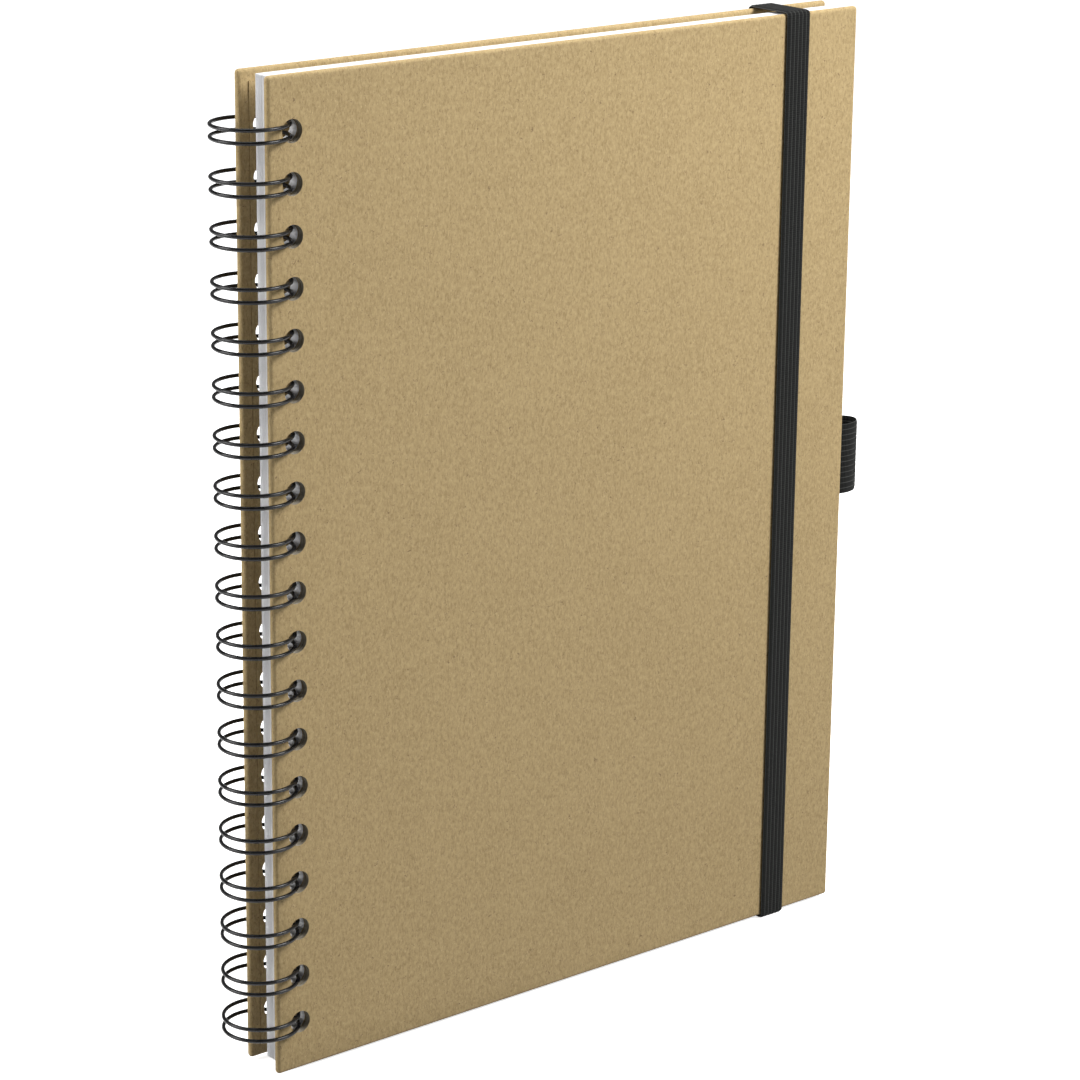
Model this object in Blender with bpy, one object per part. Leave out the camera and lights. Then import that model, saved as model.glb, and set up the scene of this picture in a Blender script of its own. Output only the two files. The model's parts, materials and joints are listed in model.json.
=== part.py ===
"""A twin-loop wire-bound sketchbook with hard covers, an elastic closing band and a pen loop.

The book stands on its lower edge. +Z runs up the spine, +X from the spine to the fore-edge, and the
front cover faces -Y. The origin is at the middle of the bottom of the whole object's box. The covers
and the leaves all turn about the axis of the wire rings, which is parallel to Z.
"""

import math

import bmesh
import bpy
from mathutils import Vector

MM = 0.001

# Covers
COVER_WIDTH = 191 * MM
COVER_HEIGHT = 255 * MM
BOARD_THICKNESS = 1.4 * MM
WRAP_THICKNESS = 0.25 * MM
ENDPAPER_THICKNESS = 0.2 * MM
GLUE_GAP = 0.05 * MM
TURN_IN = 15 * MM
ENDPAPER_INSET = 3 * MM
EDGE_ROUNDING = 0.4 * MM
BOOK_THICKNESS = 14.2 * MM

# Leaves: each group stands for several sheets of drawing paper
LEAF_GROUPS = 12
LEAF_STACK = 4.5 * MM
LEAF_GROUP_THICKNESS = 0.25 * MM
LEAF_SPINE_INSET = 1.2 * MM
LEAF_FORE_INSET = 2.9 * MM
LEAF_TOP_INSET = 0.25 * MM
LEAF_BOTTOM_INSET = 2.5 * MM
COVER_TO_LEAVES = 0.1 * MM

# Binding
LOOPS = 19
LOOP_PITCH = 12.7 * MM
TOP_HOLE_DOWN = 13.6 * MM
HOLE_RADIUS = 2.9 * MM
COVER_HOLE_SIDES = 8
LEAF_HOLE_SIDES = 6
RING_RADIUS = 9.5 * MM
WIRE_RADIUS = 0.5 * MM
TWIN_SPACING = 3.1 * MM
SPINE_CLEARANCE = 0.25 * MM
HOLE_FROM_AXIS = 7.2 * MM
ROOT_ANGLE = math.radians(8)
TIP_ANGLE = math.radians(20)
ARC_SEGMENTS = 14
TIP_SEGMENTS = 3

# Elastic closing band
BAND_WIDTH = 8 * MM
BAND_THICKNESS = 0.7 * MM
BAND_GAP = 0.1 * MM
BAND_FROM_FORE_EDGE = 22 * MM
SLOT_FROM_EDGE = 18 * MM
BAND_TAIL = 12 * MM
BAND_ROOM = 0.15 * MM

# Pen loop
RIBBON_WIDTH = 20 * MM
RIBBON_THICKNESS = 0.5 * MM
RIBBON_GAP = 0.08 * MM
LOOP_REACH = 13 * MM
LOOP_DEPTH = 9.5 * MM
LOOP_FORE_GAP = 0.5 * MM
LOOP_CENTRE_Y = 2.2 * MM
LOOP_TAIL = 12 * MM
LOOP_NECK_ANGLE = math.radians(30)
LOOP_SEGMENTS = 20

# Places that follow from the sizes
AXIS_X = (RING_RADIUS + WIRE_RADIUS - SPINE_CLEARANCE - COVER_WIDTH - LOOP_REACH) / 2
SPINE_X = AXIS_X + SPINE_CLEARANCE
FORE_X = SPINE_X + COVER_WIDTH
BOTTOM_Z = BAND_THICKNESS + BAND_GAP
TOP_Z = BOTTOM_Z + COVER_HEIGHT
MIDDLE_Z = (BOTTOM_Z + TOP_Z) / 2
OUTER_Y = BOOK_THICKNESS / 2
SHELL_THICKNESS = 2 * WRAP_THICKNESS + BOARD_THICKNESS + 2 * GLUE_GAP
INNER_Y = OUTER_Y - SHELL_THICKNESS
ENDPAPER_Y = INNER_Y - GLUE_GAP - ENDPAPER_THICKNESS
BOARD_INNER_Y = INNER_Y + WRAP_THICKNESS + GLUE_GAP
CUTTER_OVERRUN = 2 * MM

KRAFT = (0.43, 0.32, 0.17)
GREY_BOARD = (0.36, 0.34, 0.30)
PAPER = (0.83, 0.83, 0.84)
BLACK_WIRE = (0.012, 0.012, 0.013)
BLACK_ELASTIC = (0.016, 0.017, 0.016)


def clear_scene():
    for obj in list(bpy.data.objects):
        bpy.data.objects.remove(obj, do_unlink=True)


def material(name, colour, roughness, metallic=0.0):
    made = bpy.data.materials.new(name)
    made.use_nodes = True
    shader = made.node_tree.nodes["Principled BSDF"]
    shader.inputs["Base Color"].default_value = (*colour, 1)
    shader.inputs["Roughness"].default_value = roughness
    shader.inputs["Metallic"].default_value = metallic
    return made


def add_object(name, mesh, finish, parent=None):
    """An object whose mesh is in world space, with its origin moved to its parent's."""
    obj = bpy.data.objects.new(name, mesh)
    bpy.context.scene.collection.objects.link(obj)
    if finish:
        mesh.materials.append(finish)
    if parent:
        for vertex in mesh.vertices:
            vertex.co -= parent.location
        obj.parent = parent
    return obj


def hinge_empty(name):
    """An empty on the axis of the rings, about which covers and leaves turn."""
    empty = bpy.data.objects.new(name, None)
    empty.location = (AXIS_X, 0, BOTTOM_Z)
    bpy.context.scene.collection.objects.link(empty)
    return empty


def mesh_from(bm, name):
    mesh = bpy.data.meshes.new(name)
    bmesh.ops.recalc_face_normals(bm, faces=bm.faces)
    bm.to_mesh(mesh)
    bm.free()
    return mesh


def box_mesh(name, low, high):
    low, high = Vector(low), Vector(high)
    bm = bmesh.new()
    bmesh.ops.create_cube(bm, size=1)
    bmesh.ops.scale(bm, vec=high - low, verts=bm.verts)
    bmesh.ops.translate(bm, vec=(low + high) / 2, verts=bm.verts)
    return mesh_from(bm, name)


def cutter(name, mesh):
    obj = add_object(name, mesh, None)
    obj.hide_render = True
    obj.display_type = "WIRE"
    return obj


def cut(obj, *cutters):
    for tool in cutters:
        modifier = obj.modifiers.new("cut " + tool.name, "BOOLEAN")
        modifier.operation = "DIFFERENCE"
        modifier.object = tool


def loop_heights():
    return [TOP_Z - TOP_HOLE_DOWN - i * LOOP_PITCH for i in range(LOOPS)]


def hole_row(name, centre_x, sides):
    """A row of prisms along Y, one for each binding hole."""
    bm = bmesh.new()
    half_length = OUTER_Y + CUTTER_OVERRUN
    for height in loop_heights():
        rim = []
        for i in range(sides):
            angle = 2 * math.pi * (i + 0.5) / sides
            x = centre_x + HOLE_RADIUS * math.cos(angle)
            z = height + HOLE_RADIUS * math.sin(angle)
            rim.append(bm.verts.new((x, -half_length, z)))
        face = bm.faces.new(rim)
        made = bmesh.ops.extrude_face_region(bm, geom=[face])
        far = [v for v in made["geom"] if isinstance(v, bmesh.types.BMVert)]
        bmesh.ops.translate(bm, vec=(0, 2 * half_length, 0), verts=far)
    return cutter(name, mesh_from(bm, name))


def side_box(name, side, x_range, y_range, z_range):
    """A box on one side of the book: side is -1 for the front, +1 for the back; y counts outwards."""
    ys = sorted(side * y for y in y_range)
    low = (x_range[0], ys[0], z_range[0])
    high = (x_range[1], ys[1], z_range[1])
    return box_mesh(name, low, high)


def cover_wrap(name, side, finish, holes, parent=None):
    """Kraft paper round the board: the outer sheet, four folded edges and the turn-ins inside."""
    xs, zs = (SPINE_X, FORE_X), (BOTTOM_Z, TOP_Z)
    wrap = add_object(name, side_box(name, side, xs, (INNER_Y, OUTER_Y), zs), finish, parent)
    bevel = wrap.modifiers.new("folded edges", "BEVEL")
    bevel.width = EDGE_ROUNDING
    bevel.segments = 2
    wall = WRAP_THICKNESS
    hollow = cutter(
        name + "_hollow",
        side_box(
            name + "_hollow",
            side,
            (SPINE_X + wall, FORE_X - wall),
            (INNER_Y + wall, OUTER_Y - wall),
            (BOTTOM_Z + wall, TOP_Z - wall),
        ),
    )
    window = cutter(
        name + "_window",
        side_box(
            name + "_window",
            side,
            (SPINE_X + TURN_IN, FORE_X - TURN_IN),
            (INNER_Y - CUTTER_OVERRUN, INNER_Y + 2 * wall),
            (BOTTOM_Z + TURN_IN, TOP_Z - TURN_IN),
        ),
    )
    cut(wrap, hollow, window, holes)
    return wrap


def cover_board(name, side, finish, holes, parent=None):
    wall = WRAP_THICKNESS + GLUE_GAP
    mesh = side_box(
        name,
        side,
        (SPINE_X + wall, FORE_X - wall),
        (BOARD_INNER_Y, BOARD_INNER_Y + BOARD_THICKNESS),
        (BOTTOM_Z + wall, TOP_Z - wall),
    )
    board = add_object(name, mesh, finish, parent)
    cut(board, holes)
    return board


def endpaper(name, side, finish, holes, parent=None):
    inset = ENDPAPER_INSET
    mesh = side_box(
        name,
        side,
        (SPINE_X + inset, FORE_X - inset),
        (ENDPAPER_Y, ENDPAPER_Y + ENDPAPER_THICKNESS),
        (BOTTOM_Z + inset, TOP_Z - inset),
    )
    sheet = add_object(name, mesh, finish, parent)
    cut(sheet, holes)
    return sheet


def leaf_group(index, finish, holes):
    """One group of leaves, counted from the front, on its own hinge about the rings."""
    name = f"leaf_group_{index + 1:02d}"
    pitch = LEAF_STACK / LEAF_GROUPS
    front = -ENDPAPER_Y + COVER_TO_LEAVES + index * pitch
    low = (SPINE_X + LEAF_SPINE_INSET, front, BOTTOM_Z + LEAF_BOTTOM_INSET)
    high = (FORE_X - LEAF_FORE_INSET, front + LEAF_GROUP_THICKNESS, TOP_Z - LEAF_TOP_INSET)
    parent = hinge_empty(name + "_hinge")
    leaves = add_object(name, box_mesh(name, low, high), finish, parent)
    cut(leaves, holes)


def on_ring(angle, height):
    x = AXIS_X + RING_RADIUS * math.cos(angle)
    return Vector((x, RING_RADIUS * math.sin(angle), height))


def loop_points(height):
    """One double loop: out along the upper wire, round the hairpin tip and back along the lower."""
    half = TWIN_SPACING / 2
    bend_start = TIP_ANGLE - 2 * math.pi + half / RING_RADIUS
    sweep = bend_start - ROOT_ANGLE
    arc = [ROOT_ANGLE + sweep * i / ARC_SEGMENTS for i in range(ARC_SEGMENTS + 1)]
    points = [on_ring(angle, height + half) for angle in arc]
    for i in range(1, TIP_SEGMENTS):
        turn = math.pi * i / TIP_SEGMENTS
        angle = bend_start - half * math.sin(turn) / RING_RADIUS
        points.append(on_ring(angle, height + half * math.cos(turn)))
    points += [on_ring(angle, height - half) for angle in reversed(arc)]
    return points


def twin_loop_wire(finish):
    points = [point for height in loop_heights() for point in loop_points(height)]
    curve = bpy.data.curves.new("twin_loop_wire", "CURVE")
    curve.dimensions = "3D"
    curve.bevel_depth = WIRE_RADIUS
    curve.bevel_resolution = 0
    curve.use_fill_caps = True
    spline = curve.splines.new("POLY")
    spline.points.add(len(points) - 1)
    for target, point in zip(spline.points, points):
        target.co = (*point, 1)
    return add_object("twin_loop_wire", curve, finish)


def strip_mesh(name, path, thickness, across, low, high):
    """A flat strip that follows a path in a plane, and runs from low to high across that plane.

    across is the index of the axis square to the plane; the path's pairs are on the other two axes.
    """
    path = [Vector(point) for point in path]
    half = thickness / 2
    left, right = [], []
    for i, point in enumerate(path):
        before = (point - path[i - 1]).normalized() if i else None
        after = (path[i + 1] - point).normalized() if i < len(path) - 1 else None
        along = ((before or after) + (after or before)).normalized()
        mitre = half / along.dot(after or before)
        normal = Vector((-along.y, along.x)) * mitre
        left.append(point + normal)
        right.append(point - normal)
    bm = bmesh.new()
    rows = []
    for level in (low, high):
        for side in (left, right):
            row = []
            for point in side:
                place = list(point)
                place.insert(across, level)
                row.append(bm.verts.new(place))
            rows.append(row)
    low_left, low_right, high_left, high_right = rows
    for i in range(len(path) - 1):
        bm.faces.new((low_left[i], low_left[i + 1], low_right[i + 1], low_right[i]))
        bm.faces.new((high_left[i], high_right[i], high_right[i + 1], high_left[i + 1]))
        bm.faces.new((low_left[i], high_left[i], high_left[i + 1], low_left[i + 1]))
        bm.faces.new((low_right[i], low_right[i + 1], high_right[i + 1], high_right[i]))
    for i in (0, -1):
        bm.faces.new((low_left[i], low_right[i], high_right[i], high_left[i]))
    return mesh_from(bm, name)


def band_tail_y():
    return INNER_Y + BAND_THICKNESS / 2


def elastic_band(finish):
    """From a tail under the back endpaper, out through a slot, round the closed book and in again."""
    outside = OUTER_Y + BAND_GAP + BAND_THICKNESS / 2
    over = BAND_GAP + BAND_THICKNESS / 2
    upper, lower = TOP_Z - SLOT_FROM_EDGE, BOTTOM_Z + SLOT_FROM_EDGE
    path = [
        (band_tail_y(), upper - BAND_TAIL),
        (band_tail_y(), upper),
        (outside, upper),
        (outside, TOP_Z + over),
        (-outside, TOP_Z + over),
        (-outside, BOTTOM_Z - over),
        (outside, BOTTOM_Z - over),
        (outside, lower),
        (band_tail_y(), lower),
        (band_tail_y(), lower + BAND_TAIL),
    ]
    centre = FORE_X - BAND_FROM_FORE_EDGE
    ends = (centre - BAND_WIDTH / 2, centre + BAND_WIDTH / 2)
    mesh = strip_mesh("elastic_band", path, BAND_THICKNESS, 0, *ends)
    return add_object("elastic_band", mesh, finish)


def band_cutters():
    """For each end of the band, a slot through the cover and a shallow bed for the glued tail."""
    centre = FORE_X - BAND_FROM_FORE_EDGE
    half = BAND_WIDTH / 2 + BAND_ROOM
    xs = (centre - half, centre + half)
    reach = BAND_THICKNESS / 2 + BAND_ROOM
    bed_y = (INNER_Y - CUTTER_OVERRUN, INNER_Y + BAND_THICKNESS + BAND_ROOM)
    slot_y = (INNER_Y - CUTTER_OVERRUN, OUTER_Y + CUTTER_OVERRUN)
    tools = []
    for name, slot_z, inward in (
        ("upper", TOP_Z - SLOT_FROM_EDGE, -1),
        ("lower", BOTTOM_Z + SLOT_FROM_EDGE, 1),
    ):
        slot = side_box("slot", 1, xs, slot_y, (slot_z - reach, slot_z + reach))
        tools.append(cutter(f"band_slot_{name}", slot))
        ends = sorted((slot_z, slot_z + inward * (BAND_TAIL + BAND_ROOM)))
        tools.append(cutter(f"band_bed_{name}", side_box("bed", 1, xs, bed_y, ends)))
    return tools


def pen_loop(finish):
    """A ribbon folded into an open loop, with both tails glued inside the back cover."""
    near_y = INNER_Y - GLUE_GAP + RIBBON_THICKNESS / 2 + RIBBON_GAP
    far_y = near_y + RIBBON_THICKNESS + RIBBON_GAP
    half_reach = (LOOP_REACH - LOOP_FORE_GAP - RIBBON_THICKNESS) / 2
    half_depth = (LOOP_DEPTH - RIBBON_THICKNESS) / 2
    centre_x = FORE_X + LOOP_FORE_GAP + RIBBON_THICKNESS / 2 + half_reach
    start = math.pi - math.asin((far_y - LOOP_CENTRE_Y) / half_depth)
    sweep = start + math.pi + LOOP_NECK_ANGLE
    path = [(FORE_X - LOOP_TAIL, far_y), (FORE_X, far_y)]
    for i in range(LOOP_SEGMENTS + 1):
        angle = start - sweep * i / LOOP_SEGMENTS
        x = centre_x + half_reach * math.cos(angle)
        path.append((x, LOOP_CENTRE_Y + half_depth * math.sin(angle)))
    path += [(FORE_X, near_y), (FORE_X - LOOP_TAIL, near_y)]
    ends = (MIDDLE_Z - RIBBON_WIDTH / 2, MIDDLE_Z + RIBBON_WIDTH / 2)
    mesh = strip_mesh("pen_loop", path, RIBBON_THICKNESS, 2, *ends)
    return add_object("pen_loop", mesh, finish)


def pen_loop_bed():
    """The room that the pen loop's two tails take in the board and its wrap."""
    depth = 2 * RIBBON_THICKNESS + 4 * RIBBON_GAP
    half = RIBBON_WIDTH / 2 + BAND_ROOM
    mesh = side_box(
        "bed",
        1,
        (FORE_X - LOOP_TAIL - BAND_ROOM, FORE_X + CUTTER_OVERRUN),
        (INNER_Y - CUTTER_OVERRUN, INNER_Y + depth),
        (MIDDLE_Z - half, MIDDLE_Z + half),
    )
    return cutter("pen_loop_bed", mesh)


def build():
    clear_scene()
    kraft = material("kraft paper", KRAFT, 0.85)
    grey = material("grey board", GREY_BOARD, 0.9)
    paper = material("drawing paper", PAPER, 0.9)
    wire = material("black wire", BLACK_WIRE, 0.35, 0.3)
    elastic = material("black elastic", BLACK_ELASTIC, 0.8)

    cover_holes = hole_row("cover_holes", AXIS_X + HOLE_FROM_AXIS, COVER_HOLE_SIDES)
    leaf_holes_x = AXIS_X + HOLE_FROM_AXIS + LEAF_SPINE_INSET
    leaf_holes = hole_row("leaf_holes", leaf_holes_x, LEAF_HOLE_SIDES)

    front = hinge_empty("front_cover_hinge")
    cover_wrap("front_cover_wrap", -1, kraft, cover_holes, front)
    cover_board("front_board", -1, grey, cover_holes, front)
    endpaper("front_endpaper", -1, kraft, cover_holes, front)

    for index in range(LEAF_GROUPS):
        leaf_group(index, paper, leaf_holes)

    wrap = cover_wrap("back_cover_wrap", 1, kraft, cover_holes)
    board = cover_board("back_board", 1, grey, cover_holes)
    endpaper("back_endpaper", 1, kraft, cover_holes)
    band_tools = band_cutters()
    cut(wrap, *band_tools, pen_loop_bed())
    cut(board, *band_tools, bpy.data.objects["pen_loop_bed"])

    twin_loop_wire(wire)
    elastic_band(elastic)
    pen_loop(elastic)


build()
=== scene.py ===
"""The looks of a wire-bound sketchbook: kraft covers, paper leaves, wire, elastic band and pen loop."""

import json
import math

import bmesh
import bpy
from mathutils import Matrix, Vector


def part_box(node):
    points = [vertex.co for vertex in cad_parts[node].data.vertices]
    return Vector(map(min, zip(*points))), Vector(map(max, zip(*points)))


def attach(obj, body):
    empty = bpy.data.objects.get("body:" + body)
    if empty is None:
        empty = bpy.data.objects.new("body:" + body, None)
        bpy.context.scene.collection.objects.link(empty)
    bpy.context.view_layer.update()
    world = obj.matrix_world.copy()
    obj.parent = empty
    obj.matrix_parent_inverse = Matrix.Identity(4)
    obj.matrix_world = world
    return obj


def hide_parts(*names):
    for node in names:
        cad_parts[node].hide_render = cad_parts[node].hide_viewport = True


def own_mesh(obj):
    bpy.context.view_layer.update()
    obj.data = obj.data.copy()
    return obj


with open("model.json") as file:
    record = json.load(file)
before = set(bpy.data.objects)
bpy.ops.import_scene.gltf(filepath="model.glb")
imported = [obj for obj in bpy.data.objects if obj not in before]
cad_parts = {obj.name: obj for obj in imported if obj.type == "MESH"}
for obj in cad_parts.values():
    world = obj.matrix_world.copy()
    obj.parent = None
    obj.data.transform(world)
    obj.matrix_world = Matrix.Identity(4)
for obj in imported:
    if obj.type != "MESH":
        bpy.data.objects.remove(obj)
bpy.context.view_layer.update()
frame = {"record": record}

MM = 0.001

# Binding, as in the CAD model
LOOPS = 19
LOOP_PITCH = 12.7 * MM
TOP_HOLE_DOWN = 13.6 * MM
HOLE_RADIUS = 2.9 * MM
HOLE_FROM_AXIS = 7.2 * MM
RING_RADIUS = 9.5 * MM
WIRE_RADIUS = 0.5 * MM
TWIN_SPACING = 3.1 * MM
ROOT_ANGLE = math.radians(8)
TIP_ANGLE = math.radians(20)

# Places read from the frame
WRAP_LOW, WRAP_HIGH = (Vector(corner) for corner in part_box("front_cover_wrap"))
BACK_LOW, BACK_HIGH = (Vector(corner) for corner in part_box("back_cover_wrap"))
LEAF_LOW = Vector(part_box("leaf_group_01")[0])
BAND_LOW, BAND_HIGH = (Vector(corner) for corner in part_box("elastic_band"))
LOOP_LOW, LOOP_HIGH = (Vector(corner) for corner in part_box("pen_loop"))
HINGE = next(j for j in frame["record"]["behaviour"]["joints"] if j["name"] == "front_cover_hinge")
AXIS_X = HINGE["pos_m"][0]
SPINE_X = WRAP_LOW.x
FORE_X = WRAP_HIGH.x
BOTTOM_Z = WRAP_LOW.z
TOP_Z = WRAP_HIGH.z
OUTER_Y = BACK_HIGH.y
INNER_Y = BACK_LOW.y
LEAF_GROUPS = 12
SHEETS_PER_GROUP = 3
SHEET_THICKNESS = 0.085 * MM
SHEET_RAGGEDNESS = 0.12 * MM
BAND_THICKNESS = 0.7 * MM
BAND_TAIL_Y = INNER_Y + BAND_THICKNESS / 2
SLOT_FROM_EDGE = 18 * MM
BAND_RIBS = 6
RIBBON_THICKNESS = 0.5 * MM
RIBBON_GAP = 0.08 * MM
GLUE_GAP = 0.05 * MM
LOOP_FORE_GAP = 0.5 * MM
LOOP_NECK_ANGLE = math.radians(30)
LOOP_RIBS = 13
TAIL = 11.5 * MM

# Camera: a three-quarter view from the spine side
CAMERA_LENS = 116.13
CAMERA_SHIFT = -0.074
CAMERA_FROM_CORNER = Vector((-0.4590, -0.6648, 0.1380))
CAMERA_FORWARD = Vector((0.6077, 0.7450, -0.2749))
CAMERA_RIGHT = Vector((0.7767, -0.6298, 0.0103))


def hole_heights():
    return [TOP_Z - TOP_HOLE_DOWN - i * LOOP_PITCH for i in range(LOOPS)]


# ---------------------------------------------------------------- materials


class Nodes:
    """A small helper that builds one procedural material."""

    def __init__(self, name, roughness, **sockets):
        self.material = bpy.data.materials.new(name)
        self.material.use_nodes = True
        self.tree = self.material.node_tree
        self.shader = self.tree.nodes["Principled BSDF"]
        self.shader.inputs["Roughness"].default_value = roughness
        for label, value in sockets.items():
            self.shader.inputs[label.replace("_", " ")].default_value = value
        self.place = self.add("ShaderNodeTexCoord").outputs["Object"]

    def add(self, kind, **values):
        node = self.tree.nodes.new(kind)
        for key, value in values.items():
            setattr(node, key, value)
        return node

    def link(self, source, target):
        self.tree.links.new(source, target)

    def scaled(self, scale):
        node = self.add("ShaderNodeMapping")
        node.inputs["Scale"].default_value = scale
        self.link(self.place, node.inputs["Vector"])
        return node.outputs[0]

    def noise(self, scale, detail=4, roughness=0.6, stretch=(1, 1, 1), distortion=0.0):
        node = self.add("ShaderNodeTexNoise")
        node.inputs["Scale"].default_value = scale
        node.inputs["Detail"].default_value = detail
        node.inputs["Roughness"].default_value = roughness
        node.inputs["Distortion"].default_value = distortion
        self.link(self.scaled(stretch), node.inputs["Vector"])
        return node.outputs["Fac"]

    def cells(self, scale, stretch=(1, 1, 1)):
        node = self.add("ShaderNodeTexVoronoi")
        node.inputs["Scale"].default_value = scale
        self.link(self.scaled(stretch), node.inputs["Vector"])
        return node.outputs["Distance"]

    def wave(self, axis, pitch, distortion=0.0, peak=0.0):
        """A sine wave along one axis, with a peak at a given place and others a pitch apart."""
        node = self.add("ShaderNodeTexWave", wave_type="BANDS", bands_direction=axis)
        node.inputs["Scale"].default_value = math.pi / (10 * pitch)
        node.inputs["Phase Offset"].default_value = math.pi - 2 * math.pi * peak / pitch
        node.inputs["Distortion"].default_value = distortion
        self.link(self.place, node.inputs["Vector"])
        return node.outputs["Fac"]

    def ramp(self, source, *stops):
        node = self.add("ShaderNodeValToRGB")
        points = node.color_ramp.elements
        while len(points) < len(stops):
            points.new(0.5)
        for point, (position, colour) in zip(points, stops):
            point.position = position
            colour = (colour,) * 3 if isinstance(colour, (int, float)) else colour
            point.color = (*colour, 1)
        self.link(source, node.inputs["Fac"])
        return node.outputs["Color"]

    def mix(self, factor, first, second):
        node = self.add("ShaderNodeMix", data_type="RGBA")
        for index, value in ((0, factor), (6, first), (7, second)):
            if isinstance(value, bpy.types.NodeSocket):
                self.link(value, node.inputs[index])
            elif index:
                node.inputs[index].default_value = (*value, 1)
            else:
                node.inputs[index].default_value = value
        return node.outputs[2]

    def add_values(self, *weighted):
        total = None
        for source, weight in weighted:
            node = self.add("ShaderNodeMath", operation="MULTIPLY_ADD")
            self.link(source, node.inputs[0])
            node.inputs[1].default_value = weight
            node.inputs[2].default_value = 0
            if total is not None:
                self.link(total, node.inputs[2])
            total = node.outputs[0]
        return total

    def finish(self, colour, height=None, distance=0.0001, strength=1.0, roughness=None):
        self.link(colour, self.shader.inputs["Base Color"])
        if roughness is not None:
            self.link(roughness, self.shader.inputs["Roughness"])
        if height is not None:
            bump = self.add("ShaderNodeBump")
            bump.inputs["Distance"].default_value = distance
            bump.inputs["Strength"].default_value = strength
            self.link(height, bump.inputs["Height"])
            self.link(bump.outputs[0], self.shader.inputs["Normal"])
        return self.material


def kraft_material():
    """Unbleached kraft paper: mottled pulp, faint vertical grain and short dark and pale fibres."""
    n = Nodes("kraft", 0.82, Specular_IOR_Level=0.25)
    mottle = n.noise(45, detail=4, roughness=0.55)
    pulp = n.noise(1100, detail=5, roughness=0.7, stretch=(1, 1, 0.75))
    grain = n.noise(2600, detail=4, roughness=0.65, stretch=(1, 1, 0.4))
    fibre = n.cells(1300, stretch=(1, 1, 0.5))
    colour = n.ramp(mottle, (0.3, (0.405, 0.294, 0.138)), (0.7, (0.435, 0.318, 0.152)))
    colour = n.mix(n.ramp(pulp, (0.4, 0.0), (0.62, 0.7)), colour, (0.545, 0.411, 0.214))
    colour = n.mix(n.ramp(grain, (0.5, 0.0), (0.66, 0.7)), colour, (0.285, 0.197, 0.088))
    colour = n.mix(n.ramp(fibre, (0.0, 0.8), (0.2, 0.0)), colour, (0.660, 0.520, 0.300))
    flecks = n.ramp(n.noise(1000, detail=2, distortion=1.2), (0.67, 0.0), (0.71, 0.8))
    colour = n.mix(flecks, colour, (0.205, 0.135, 0.07))
    height = n.add_values((pulp, 0.5), (grain, 0.5), (mottle, 0.6))
    roughness = n.ramp(pulp, (0.3, 0.74), (0.7, 0.9))
    return n.finish(colour, height, distance=0.00008, strength=0.5, roughness=roughness)


def board_material():
    """The cut edge of grey board inside a punched hole, with pale torn fibres."""
    n = Nodes("grey_board", 0.9)
    layers = n.noise(900, detail=4, stretch=(0.4, 2.5, 0.4))
    colour = n.ramp(layers, (0.35, (0.20, 0.165, 0.11)), (0.65, (0.42, 0.38, 0.31)))
    return n.finish(colour, layers, distance=0.0001, strength=0.8)


def paper_material():
    """Uncoated white drawing paper with a fine tooth."""
    n = Nodes("drawing_paper", 0.88, Specular_IOR_Level=0.2)
    tooth = n.noise(2600, detail=4, roughness=0.65)
    cloud = n.noise(60, detail=3)
    colour = n.ramp(cloud, (0.35, (0.80, 0.80, 0.815)), (0.65, (0.85, 0.85, 0.855)))
    colour = n.mix(n.ramp(tooth, (0.3, 0.35), (0.6, 0.0)), colour, (0.73, 0.73, 0.745))
    return n.finish(colour, tooth, distance=0.00004, strength=0.35)


def wire_material():
    """Black nylon coating over round wire, slightly orange-peeled."""
    n = Nodes("black_wire", 0.3, Specular_IOR_Level=0.22, Coat_Weight=0.08, Coat_Roughness=0.08)
    peel = n.noise(1700, detail=2)
    wear = n.noise(240, detail=4)
    colour = n.ramp(wear, (0.4, (0.0025, 0.0025, 0.003)), (0.75, (0.007, 0.007, 0.008)))
    roughness = n.ramp(wear, (0.3, 0.2), (0.7, 0.36))
    return n.finish(colour, peel, distance=0.00003, strength=0.4, roughness=roughness)


def webbing_material(name, along, across, rib_pitch, rib_edge, thread_pitch):
    """Ribbed elastic: cross threads over the ribs, and paler rubber threads in the valleys."""
    n = Nodes(name, 0.85, Sheen_Weight=0.02, Sheen_Roughness=0.5, Specular_IOR_Level=0.14)
    threads = n.wave(along, thread_pitch, distortion=0.5)
    valleys = n.wave(across, rib_pitch, peak=rib_edge)
    fuzz = n.noise(2300, detail=4, roughness=0.7)
    colour = n.ramp(threads, (0.1, (0.004, 0.0042, 0.004)), (0.9, (0.012, 0.0125, 0.0115)))
    colour = n.mix(n.ramp(valleys, (0.9, 0.0), (0.99, 0.8)), colour, (0.062, 0.063, 0.060))
    colour = n.mix(n.ramp(fuzz, (0.58, 0.0), (0.8, 0.3)), colour, (0.035, 0.036, 0.034))
    height = n.add_values((threads, 0.8), (fuzz, 0.35))
    return n.finish(colour, height, distance=0.00009, strength=0.8)


KRAFT = kraft_material()
BOARD = board_material()
PAPER = paper_material()
WIRE = wire_material()
BAND_RIB_PITCH = (BAND_HIGH.x - BAND_LOW.x) / BAND_RIBS
LOOP_RIB_PITCH = (LOOP_HIGH.z - LOOP_LOW.z) / LOOP_RIBS
BAND_WEB = webbing_material("band_elastic", "Z", "X", BAND_RIB_PITCH, BAND_LOW.x, 0.6 * MM)
LOOP_WEB = webbing_material("loop_elastic", "X", "Z", LOOP_RIB_PITCH, LOOP_LOW.z, 0.5 * MM)


# ---------------------------------------------------------------- mesh helpers


def add_piece(name, mesh, materials, body, nodes):
    obj = bpy.data.objects.new(name, mesh)
    bpy.context.scene.collection.objects.link(obj)
    for finish in materials:
        mesh.materials.append(finish)
    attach(obj, body)
    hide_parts(*nodes)
    return obj


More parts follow.
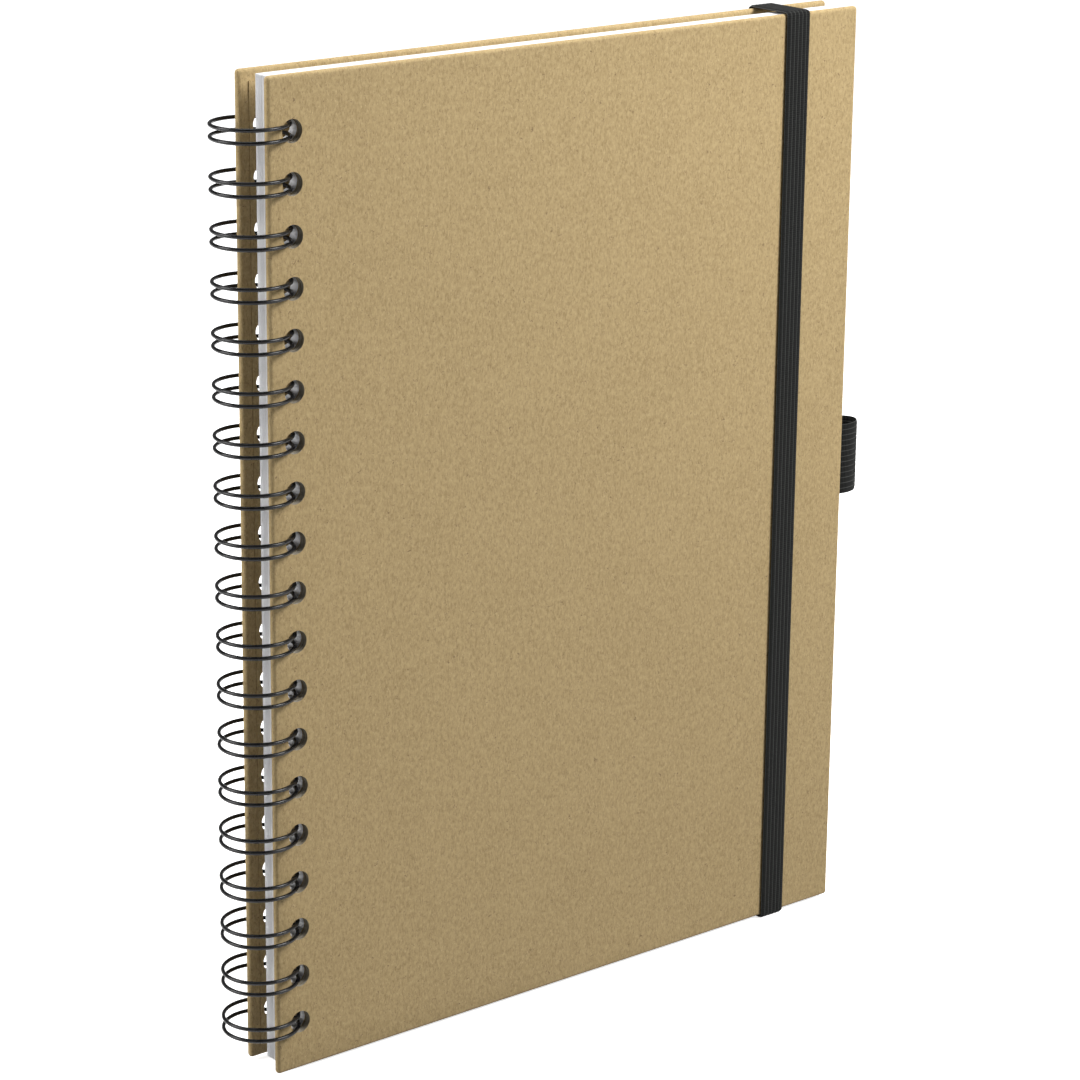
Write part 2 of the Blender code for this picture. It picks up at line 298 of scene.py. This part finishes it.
def mesh_of(bm, name):
    mesh = bpy.data.meshes.new(name)
    bmesh.ops.recalc_face_normals(bm, faces=bm.faces)
    bm.to_mesh(mesh)
    bm.free()
    return mesh


def applied(obj, name):
    """The mesh of an object with its modifiers applied; the object itself is removed."""
    bpy.context.view_layer.update()
    graph = bpy.context.evaluated_depsgraph_get()
    mesh = bpy.data.meshes.new_from_object(obj.evaluated_get(graph))
    mesh.name = name
    bpy.data.objects.remove(obj, do_unlink=True)
    return mesh


def hole_tool(centre_x, sides, radius):
    """Prisms along Y through every binding hole."""
    bm = bmesh.new()
    reach = 3 * OUTER_Y
    for height in hole_heights():
        turn = Matrix.Rotation(math.pi / 2, 4, "X")
        place = Matrix.Translation((centre_x, 0, height)) @ turn
        bmesh.ops.create_cone(
            bm, cap_ends=True, segments=sides, radius1=radius, radius2=radius, depth=reach, matrix=place
        )
    tool = bpy.data.objects.new("holes", mesh_of(bm, "holes"))
    bpy.context.scene.collection.objects.link(tool)
    return tool


def slab(low, high):
    """A plain box between two corners."""
    bm = bmesh.new()
    size = high - low
    place = Matrix.Translation((low + high) / 2) @ Matrix.Diagonal((*size, 1))
    bmesh.ops.create_cube(bm, size=1, matrix=place)
    return bm


def punched(name, bm, tool):
    """A sheet with its binding holes cut through."""
    obj = bpy.data.objects.new(name, mesh_of(bm, name))
    bpy.context.scene.collection.objects.link(obj)
    cut = obj.modifiers.new("holes", "BOOLEAN")
    cut.operation = "DIFFERENCE"
    cut.object = tool
    return applied(obj, name)


def sweep(name, path, normals, profile, across):
    """A closed profile of (side, height) pairs carried along a path in a plane.

    path and normals are lists of 3-D vectors; side is measured along across, height along the normal.
    """
    bm = bmesh.new()
    rings = []
    for point, normal in zip(path, normals):
        places = [point + across * side + normal * height for side, height in profile]
        rings.append([bm.verts.new(place) for place in places])
    for first, second in zip(rings, rings[1:]):
        for i in range(len(profile)):
            j = (i + 1) % len(profile)
            bm.faces.new((first[i], first[j], second[j], second[i]))
    bm.faces.new(rings[0])
    bm.faces.new(rings[-1])
    mesh = mesh_of(bm, name)
    mesh.shade_smooth()
    mesh.set_sharp_from_angle(angle=math.radians(50))
    return mesh


def filleted(corners, radii, steps=8):
    """2-D points along a polyline with its corners rounded."""
    points = [Vector(corners[0])]
    for i in range(1, len(corners) - 1):
        before, here, after = (Vector(corners[k]) for k in (i - 1, i, i + 1))
        inward = (here - before).normalized()
        outward = (after - here).normalized()
        turn = inward.angle_signed(outward)
        reach = radii[i - 1] * math.tan(abs(turn) / 2)
        start = here - inward * reach
        for k in range(steps + 1):
            angle = turn * k / steps
            side = Vector((-inward.y, inward.x)) * (-1 if turn > 0 else 1)
            centre = start + side * radii[i - 1]
            radial = Matrix.Rotation(-angle, 2) @ (start - centre)
            points.append(centre + radial)
    points.append(Vector(corners[-1]))
    return points


def resampled(points, step):
    """The same polyline with no gap between points longer than a step."""
    found = [points[0]]
    for before, after in zip(points, points[1:]):
        count = max(1, math.ceil((after - before).length / step))
        found += [before.lerp(after, k / count) for k in range(1, count + 1)]
    return found


def left_normals(points):
    """For each 2-D point, the unit vector a quarter turn to the left of the path."""
    found = []
    for i in range(len(points)):
        along = points[min(i + 1, len(points) - 1)] - points[max(i - 1, 0)]
        along.normalize()
        found.append(Vector((-along.y, along.x)))
    return found


def ribbed_profile(width, thickness, ribs, depth, samples=8):
    """A strip's cross-section: rounded ribs on both faces, thin at the selvedges."""
    count = ribs * samples
    upper = []
    for i in range(count + 1):
        share = i / count
        side = (share - 0.5) * width
        rib = abs(math.sin(math.pi * share * ribs)) ** 0.6
        edge = min(1, share * ribs * 1.6, (1 - share) * ribs * 1.6) ** 0.5
        upper.append((side, (thickness / 2 - depth * (1 - rib)) * max(edge, 0.35)))
    return upper + [(side, -height) for side, height in reversed(upper)]


# ---------------------------------------------------------------- pieces


def cover(name, low, high, body, nodes, tool):
    """A board wrapped in kraft paper, with soft folded edges and punched holes."""
    obj = bpy.data.objects.new(name, mesh_of(slab(low, high), name))
    bpy.context.scene.collection.objects.link(obj)
    bevel = obj.modifiers.new("folded edges", "BEVEL")
    bevel.width = 0.95 * MM
    bevel.segments = 6
    cut = obj.modifiers.new("holes", "BOOLEAN")
    cut.operation = "DIFFERENCE"
    cut.object = tool
    mesh = applied(obj, name)
    mesh.shade_smooth()
    mesh.set_sharp_from_angle(angle=math.radians(35))
    hole_x = AXIS_X + HOLE_FROM_AXIS
    near_hole = 1.05 * HOLE_RADIUS
    heights = hole_heights()
    wall = {
        face.index
        for face in mesh.polygons
        if abs(face.normal.y) < 0.2
        and abs(face.center.x - hole_x) < near_hole
        and min(abs(face.center.z - height) for height in heights) < near_hole
    }
    for face in mesh.polygons:
        face.material_index = int(face.index in wall)
    return add_piece(name, mesh, [KRAFT, BOARD], body, nodes)


def endpaper(name, body, tool):
    low, high = (Vector(corner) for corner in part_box(name))
    mesh = punched(name + "_sheet", slab(low, high), tool)
    return add_piece(name + "_sheet", mesh, [KRAFT], body, [name])


def leaf_sheets(index, tool):
    """The sheets of one leaf group, whose edges don't quite line up."""
    node = f"leaf_group_{index + 1:02d}"
    low, high = (Vector(corner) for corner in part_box(node))
    room = high.y - low.y
    merged = bmesh.new()
    for k in range(SHEETS_PER_GROUP):
        y = low.y + room * (k + 0.15) / SHEETS_PER_GROUP
        ragged = abs(SHEET_RAGGEDNESS * math.sin(5.1 * (index * SHEETS_PER_GROUP + k)))
        sheet_low = Vector((low.x + ragged, y, low.z + ragged))
        sheet_high = Vector((high.x - ragged, y + SHEET_THICKNESS, high.z - 0.6 * ragged))
        mesh = punched("sheet", slab(sheet_low, sheet_high), tool)
        merged.from_mesh(mesh)
        bpy.data.meshes.remove(mesh)
    mesh = mesh_of(merged, node + "_sheets")
    return add_piece(node + "_sheets", mesh, [PAPER], f"leaves_{index + 1:02d}", [node])


def on_ring(angle, height):
    x = AXIS_X + RING_RADIUS * math.cos(angle)
    return Vector((x, RING_RADIUS * math.sin(angle), height))


def wire_path():
    """The continuous wire: out along each loop, round its tip, back, and along the root to the next."""
    half = TWIN_SPACING / 2
    bend_start = TIP_ANGLE - 2 * math.pi + half / RING_RADIUS
    arc_steps = 64
    tip_steps = 10
    corner = 0.9 * MM
    corner_angle = corner / RING_RADIUS
    points = []
    for height in hole_heights():
        first = ROOT_ANGLE - corner_angle
        arc = [first + (bend_start - first) * i / arc_steps for i in range(arc_steps + 1)]
        turn_in = [
            (ROOT_ANGLE - corner_angle * (1 - math.sin(t)), height + half + corner * (1 - math.cos(t)))
            for t in (math.pi / 2 * (1 - k / 5) for k in range(5))
        ]
        points += [on_ring(*place) for place in turn_in]
        points += [on_ring(angle, height + half) for angle in arc]
        for i in range(1, tip_steps):
            turn = math.pi * i / tip_steps
            angle = bend_start - half * math.sin(turn) / RING_RADIUS
            points.append(on_ring(angle, height + half * math.cos(turn)))
        points += [on_ring(angle, height - half) for angle in reversed(arc)]
        points += [on_ring(angle, 2 * height - z) for angle, z in reversed(turn_in)]
    return points


def tube(name, points, radius, sides=14):
    """A round tube along 3-D points, with its frames carried along without twist, and flat ends."""
    bm = bmesh.new()
    rings = []
    side = None
    angles = [2 * math.pi * k / sides for k in range(sides)]
    for i, point in enumerate(points):
        along = (points[min(i + 1, len(points) - 1)] - points[max(i - 1, 0)]).normalized()
        if side is None:
            side = along.orthogonal().normalized()
        side = (side - along * side.dot(along)).normalized()
        other = along.cross(side)
        spokes = [side * math.cos(angle) + other * math.sin(angle) for angle in angles]
        rings.append([bm.verts.new(point + radius * spoke) for spoke in spokes])
    for first, second in zip(rings, rings[1:]):
        for k in range(sides):
            j = (k + 1) % sides
            bm.faces.new((first[k], first[j], second[j], second[k]))
    bm.faces.new(rings[0])
    bm.faces.new(rings[-1])
    mesh = mesh_of(bm, name)
    mesh.shade_smooth()
    return mesh


def band():
    """The elastic closing band, from its slot in the back cover round the book and back."""
    thickness = BAND_THICKNESS
    outside = BAND_HIGH.y - thickness / 2
    inside = BAND_TAIL_Y
    top = BAND_HIGH.z - thickness / 2
    bottom = BAND_LOW.z + thickness / 2
    upper = TOP_Z - SLOT_FROM_EDGE
    lower = BOTTOM_Z + SLOT_FROM_EDGE
    corners = [
        (inside, upper - TAIL),
        (inside, upper),
        (outside, upper),
        (outside, top),
        (-outside, top),
        (-outside, bottom),
        (outside, bottom),
        (outside, lower),
        (inside, lower),
        (inside, lower + TAIL),
    ]
    tight = 0.5 * MM
    wide = 0.95 * MM
    radii = [tight, tight, wide, wide, wide, wide, tight, tight]
    flat = resampled(filleted(corners, radii), 6 * MM)
    centre = (BAND_LOW.x + BAND_HIGH.x) / 2
    path = [Vector((centre, p.x, p.y)) for p in flat]
    normals = [Vector((0, p.x, p.y)) for p in left_normals(flat)]
    profile = ribbed_profile(BAND_HIGH.x - BAND_LOW.x, thickness, BAND_RIBS, 0.1 * MM)
    mesh = sweep("closing_band", path, normals, profile, Vector((1, 0, 0)))
    piece = add_piece("closing_band", mesh, [BAND_WEB], "back_cover", ["elastic_band"])
    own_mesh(piece)


def pen_loop():
    """A ribbed ribbon folded into an open loop at the fore-edge."""
    thickness = RIBBON_THICKNESS
    near = INNER_Y - GLUE_GAP + thickness / 2 + RIBBON_GAP
    far = near + thickness + RIBBON_GAP
    loop_x = FORE_X + LOOP_FORE_GAP + thickness / 2
    half_reach = (LOOP_HIGH.x - thickness / 2 - loop_x) / 2
    half_depth = (LOOP_HIGH.y - LOOP_LOW.y - thickness) / 2
    centre = Vector((loop_x + half_reach, (LOOP_HIGH.y + LOOP_LOW.y) / 2))
    start = math.pi - math.asin((far - centre.y) / half_depth)
    sweep_angle = start + math.pi + LOOP_NECK_ANGLE
    bend_steps = 72
    tail_places = (FORE_X - TAIL, FORE_X - 2 * MM, FORE_X)
    flat = [Vector((x, far)) for x in tail_places]
    for i in range(bend_steps + 1):
        angle = start - sweep_angle * i / bend_steps
        flat.append(centre + Vector((half_reach * math.cos(angle), half_depth * math.sin(angle))))
    flat += [Vector((x, near)) for x in reversed(tail_places)]
    middle = (LOOP_LOW.z + LOOP_HIGH.z) / 2
    path = [Vector((p.x, p.y, middle)) for p in flat]
    normals = [Vector((p.x, p.y, 0)) for p in left_normals(flat)]
    profile = ribbed_profile(LOOP_HIGH.z - LOOP_LOW.z, thickness, LOOP_RIBS, 0.07 * MM, samples=6)
    mesh = sweep("pen_ribbon", path, normals, profile, Vector((0, 0, 1)))
    add_piece("pen_ribbon", mesh, [LOOP_WEB], "back_cover", ["pen_loop"])


# ---------------------------------------------------------------- studio


def studio():
    """A glowing white floor, hidden from diffuse rays, with a faint sky and three soft lamps."""
    bm = bmesh.new()
    bmesh.ops.create_grid(bm, x_segments=2, y_segments=2, size=6)
    floor = bpy.data.objects.new("floor", mesh_of(bm, "floor"))
    bpy.context.scene.collection.objects.link(floor)
    floor_material = Nodes("floor", 0.9, Emission_Color=(1, 1, 1, 1), Emission_Strength=0.75)
    shade = floor_material.noise(3, detail=1)
    colour = floor_material.ramp(shade, (0.4, 0.93), (0.6, 0.94))
    floor.data.materials.append(floor_material.finish(colour))
    floor.visible_diffuse = False

    world = bpy.data.worlds.new("studio")
    bpy.context.scene.world = world
    world.use_nodes = True
    world.node_tree.nodes["Background"].inputs["Color"].default_value = (1, 1, 1, 1)
    world.node_tree.nodes["Background"].inputs["Strength"].default_value = 0.17
    target = Vector((0, 0, (BOTTOM_Z + TOP_Z) / 2))
    for name, place, size, power in (
        ("key", (0.50, -0.60, 0.80), 0.45, 14.0),
        ("side", (-1.3, 0.6, 0.8), 0.9, 24),
        ("top", (0.1, 0.5, 1.6), 1.2, 16),
    ):
        light = bpy.data.lights.new(name, "AREA")
        light.size = size
        light.energy = power
        lamp = bpy.data.objects.new(name, light)
        lamp.location = place
        lamp.rotation_euler = (target - lamp.location).to_track_quat("-Z", "Y").to_euler()
        bpy.context.scene.collection.objects.link(lamp)
    bpy.context.scene.view_settings.view_transform = "Standard"


def camera():
    """A long lens, placed from the front cover's upper spine corner."""
    data = bpy.data.cameras.new("camera")
    data.lens = CAMERA_LENS
    data.sensor_width = 36
    data.shift_y = CAMERA_SHIFT
    obj = bpy.data.objects.new("camera", data)
    back = -CAMERA_FORWARD.normalized()
    right = CAMERA_RIGHT.normalized()
    up = back.cross(right)
    turn = Matrix((right, up, back)).transposed().to_4x4()
    front_corner = Vector((SPINE_X, -OUTER_Y, TOP_Z))
    place = front_corner + CAMERA_FROM_CORNER
    obj.matrix_world = Matrix.Translation(place) @ turn
    bpy.context.scene.collection.objects.link(obj)
    bpy.context.scene.camera = obj


def build():
    camera()
    studio()
    cover_holes = hole_tool(AXIS_X + HOLE_FROM_AXIS, 40, HOLE_RADIUS)
    leaf_inset = LEAF_LOW.x - SPINE_X
    leaf_holes = hole_tool(AXIS_X + HOLE_FROM_AXIS + leaf_inset, 20, HOLE_RADIUS)
    front_nodes = ["front_cover_wrap", "front_board"]
    cover("front_cover", WRAP_LOW, WRAP_HIGH, "front_cover", front_nodes, cover_holes)
    back_nodes = ["back_cover_wrap", "back_board"]
    cover("back_cover", BACK_LOW, BACK_HIGH, "back_cover", back_nodes, cover_holes)
    endpaper("front_endpaper", "front_cover", cover_holes)
    endpaper("back_endpaper", "back_cover", cover_holes)
    for index in range(LEAF_GROUPS):
        leaf_sheets(index, leaf_holes)
    for tool in (cover_holes, leaf_holes):
        bpy.data.objects.remove(tool, do_unlink=True)
    wire = tube("binding_wire", wire_path(), WIRE_RADIUS)
    add_piece("binding_wire", wire, [WIRE], "back_cover", ["twin_loop_wire"])
    band()
    pen_loop()


build()
